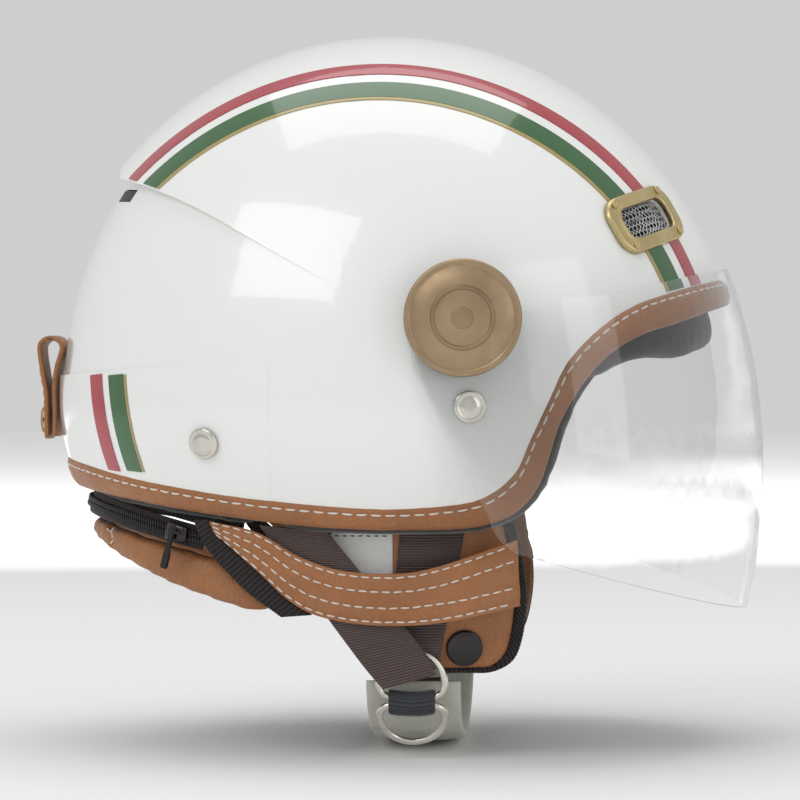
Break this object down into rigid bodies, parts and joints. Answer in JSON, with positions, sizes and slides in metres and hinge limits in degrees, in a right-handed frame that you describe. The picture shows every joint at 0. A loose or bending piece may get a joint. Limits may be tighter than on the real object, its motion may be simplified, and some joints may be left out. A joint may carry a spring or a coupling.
{
  "type": "open face motorcycle helmet",
  "caption": "Open face helmet with a stepped hard shell, tan leather edging and ear flaps, a clear flip up visor, webbing chin strap with D rings and a goggle loop.",
  "frame": {"origin": "the middle of the head cavity, where the head sits, halfway between the cheeks and level with the widest part of the shell", "axes": "+X towards the face and visor, +Y towards the wearer's left, +Z towards the crown"},
  "size_m": [0.2899, 0.2464, 0.2798],
  "materials": {
    "white_paint": "gloss white lacquer over moulded shell",
    "foam_black": "black polystyrene foam",
    "liner_fabric": "brushed dark charcoal fabric",
    "brown_leather": "grained tan brown leather",
    "red_paint": "gloss red stripe",
    "green_paint": "gloss green stripe",
    "gold_paint": "thin gold pinstripe",
    "brass": "brushed pale brass",
    "steel_mesh": "silver wire mesh",
    "nickel": "bright nickel",
    "bronze": "fine textured bronze lacquer",
    "black_plastic": "black moulded nylon",
    "black_gloss": "gloss black enamel",
    "clear_visor": "clear polycarbonate",
    "webbing": "dark grey brown ribbed nylon webbing",
    "satin_webbing": "black satin webbing",
    "ribbed_fabric": "black ribbed fabric",
    "grey_pad": "light grey soft fabric",
    "white_label": "white woven label",
    "zip_black": "black coil zip"
  },
  "bodies": {
    "shell": {"outer_shell": "white_paint", "rear_vent_grille": "black_plastic", "eps_liner": "foam_black", "comfort_liner": "liner_fabric", "nape_pad": "liner_fabric", "cheek_pad_right": "liner_fabric", "cheek_pad_left": "liner_fabric", "forehead_pad": "liner_fabric", "edge_trim": "brown_leather", "stripe_red": "red_paint", "stripe_green": "green_paint", "stripe_gold": "gold_paint", "band_stripe_red": "red_paint", "band_stripe_green": "green_paint", "band_stripe_gold": "gold_paint", "front_vent_bezel_right": "brass", "front_vent_bezel_left": "brass", "front_vent_mesh_right": "steel_mesh", "front_vent_mesh_left": "steel_mesh", "vent_screws": "brass", "strap_rivets": "nickel", "pivot_base_right": "black_plastic", "pivot_base_left": "black_plastic", "pivot_cover_right": "bronze", "pivot_cover_left": "bronze", "pivot_emblems": "bronze", "pivot_washers": "nickel", "pivot_screws": "nickel", "ear_flap_right": "brown_leather", "ear_flap_left": "brown_leather", "flap_piping_right": "ribbed_fabric", "flap_piping_left": "ribbed_fabric", "flap_lining_right": "brown_leather", "flap_lining_left": "brown_leather", "cheek_band_right": "brown_leather", "cheek_band_left": "brown_leather", "care_label": "white_label", "strap_front_leg_right": "webbing", "strap_front_leg_left": "webbing", "strap_rear_leg_right": "webbing", "strap_rear_leg_left": "webbing", "flap_snaps": "black_gloss", "ring_loop": "satin_webbing", "chin_pad": "grey_pad", "chin_strap": "webbing", "zip_tape": "ribbed_fabric", "zip_teeth": "zip_black", "neck_roll": "brown_leather", "neck_gusset": "ribbed_fabric", "gusset_binding_right": "ribbed_fabric", "gusset_binding_left": "ribbed_fabric", "loop_strap": "brown_leather"},
    "visor": {"visor_shield": "clear_visor"},
    "lower_ring": {"ring_lower": "nickel"},
    "upper_ring": {"ring_upper": "nickel"},
    "slider": {"zip_slider": "black_gloss"},
    "pull_tab": {"zip_pull": "black_gloss"},
    "goggle_flap": {"loop_flap": "brown_leather", "loop_snap_cap": "black_gloss"}
  },
  "joints": [
    {"name": "visor_hinge", "type": "hinge", "parent": "shell", "child": "visor", "pos_m": [0.0334, 0, 0.0317], "axis": [0, -1, 0], "range_deg": [0, 58]},
    {"name": "lower_ring_hinge", "type": "hinge", "parent": "shell", "child": "lower_ring", "pos_m": [0.01293, -0.08387, -0.11454], "axis": [-1, 0, 0], "range_deg": [0, 85]},
    {"name": "upper_ring_hinge", "type": "hinge", "parent": "shell", "child": "upper_ring", "pos_m": [0.01293, -0.08447, -0.11115], "axis": [-1, 0, 0], "range_deg": [0, 2]},
    {"name": "zip_travel", "type": "hinge", "parent": "shell", "child": "slider", "pos_m": [-0.032, 0, -0.06], "axis": [-0.2317, 0, -0.9728], "range_deg": [0, 120]},
    {"name": "pull_hinge", "type": "hinge", "parent": "slider", "child": "pull_tab", "pos_m": [-0.07826, -0.08236, -0.04898], "axis": [-0.8424, 0.5, 0.2007], "range_deg": [0, 70]},
    {"name": "goggle_flap_fold", "type": "hinge", "parent": "shell", "child": "goggle_flap", "pos_m": [-0.1353, 0, 0.0262], "axis": [0, 1, 0], "range_deg": [0, 85]}
  ]
}
